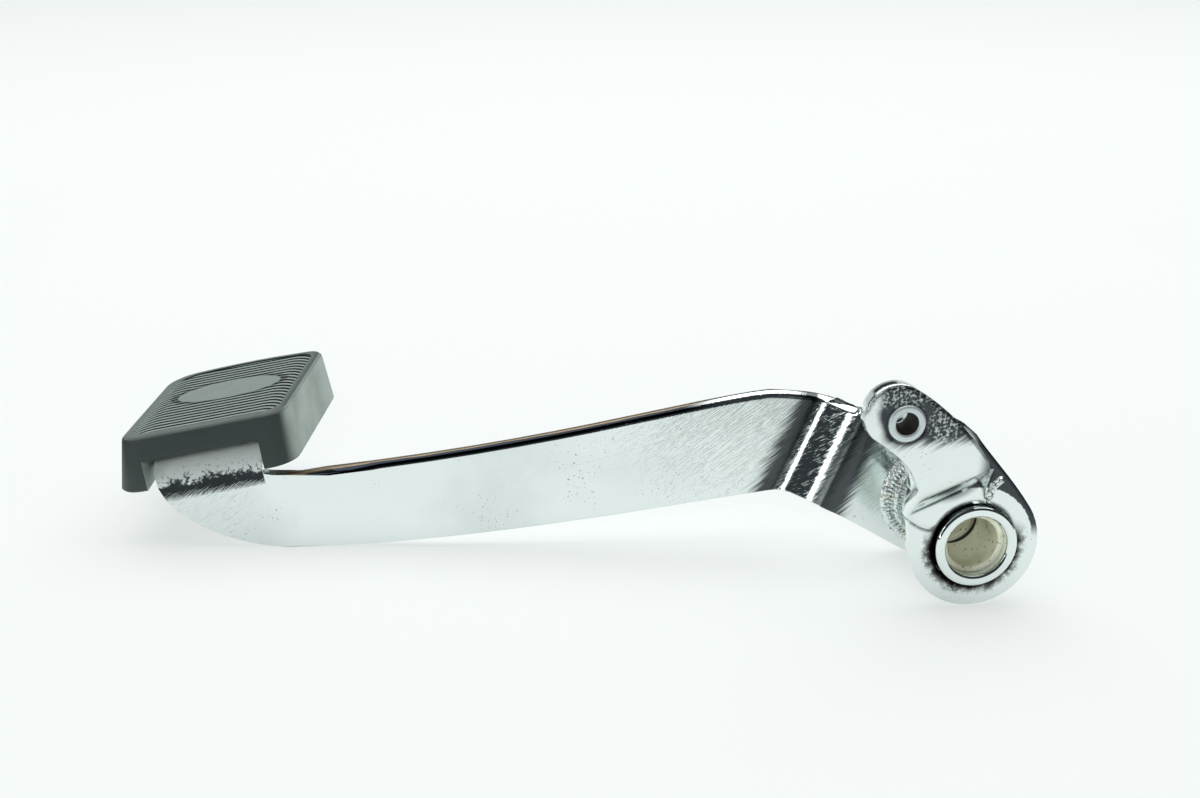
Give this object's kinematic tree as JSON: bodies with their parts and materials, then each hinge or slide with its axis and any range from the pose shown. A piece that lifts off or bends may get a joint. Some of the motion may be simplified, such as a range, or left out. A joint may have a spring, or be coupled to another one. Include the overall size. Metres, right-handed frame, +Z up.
{
  "type": "brake pedal",
  "caption": "Foot brake pedal of a motorcycle: chromed folded arm with pivot tube, rod lever and ribbed rubber pad.",
  "frame": {"origin": "on the pivot axis at the mouth of the front bush", "axes": "+Y along the pivot axis away from the rod lever, -X along the arm to the pad, +Z up"},
  "size_m": [0.2781, 0.1617, 0.075],
  "materials": {
    "chrome_arm": "worn plating with pits and scratches",
    "chrome_hub": "worn plating, mottled round the rod eye",
    "chrome_tube": "plated, dull at the rim",
    "bush_metal": "greasy bearing bronze",
    "weld_metal": "rough plated weld",
    "pad_rubber": "matt, dusty on the right side"
  },
  "bodies": {
    "root": {"pedal_arm": "chrome_arm", "pivot_tube": "chrome_tube", "front_bush": "bush_metal", "rear_bush": "bush_metal", "hub_plate": "chrome_hub", "rod_lever": "chrome_hub", "rod_eye_bush": "chrome_tube", "arm_weld": "weld_metal", "hub_weld": "weld_metal", "lever_weld": "weld_metal", "pad_rubber": "pad_rubber"}
  },
  "joints": []
}
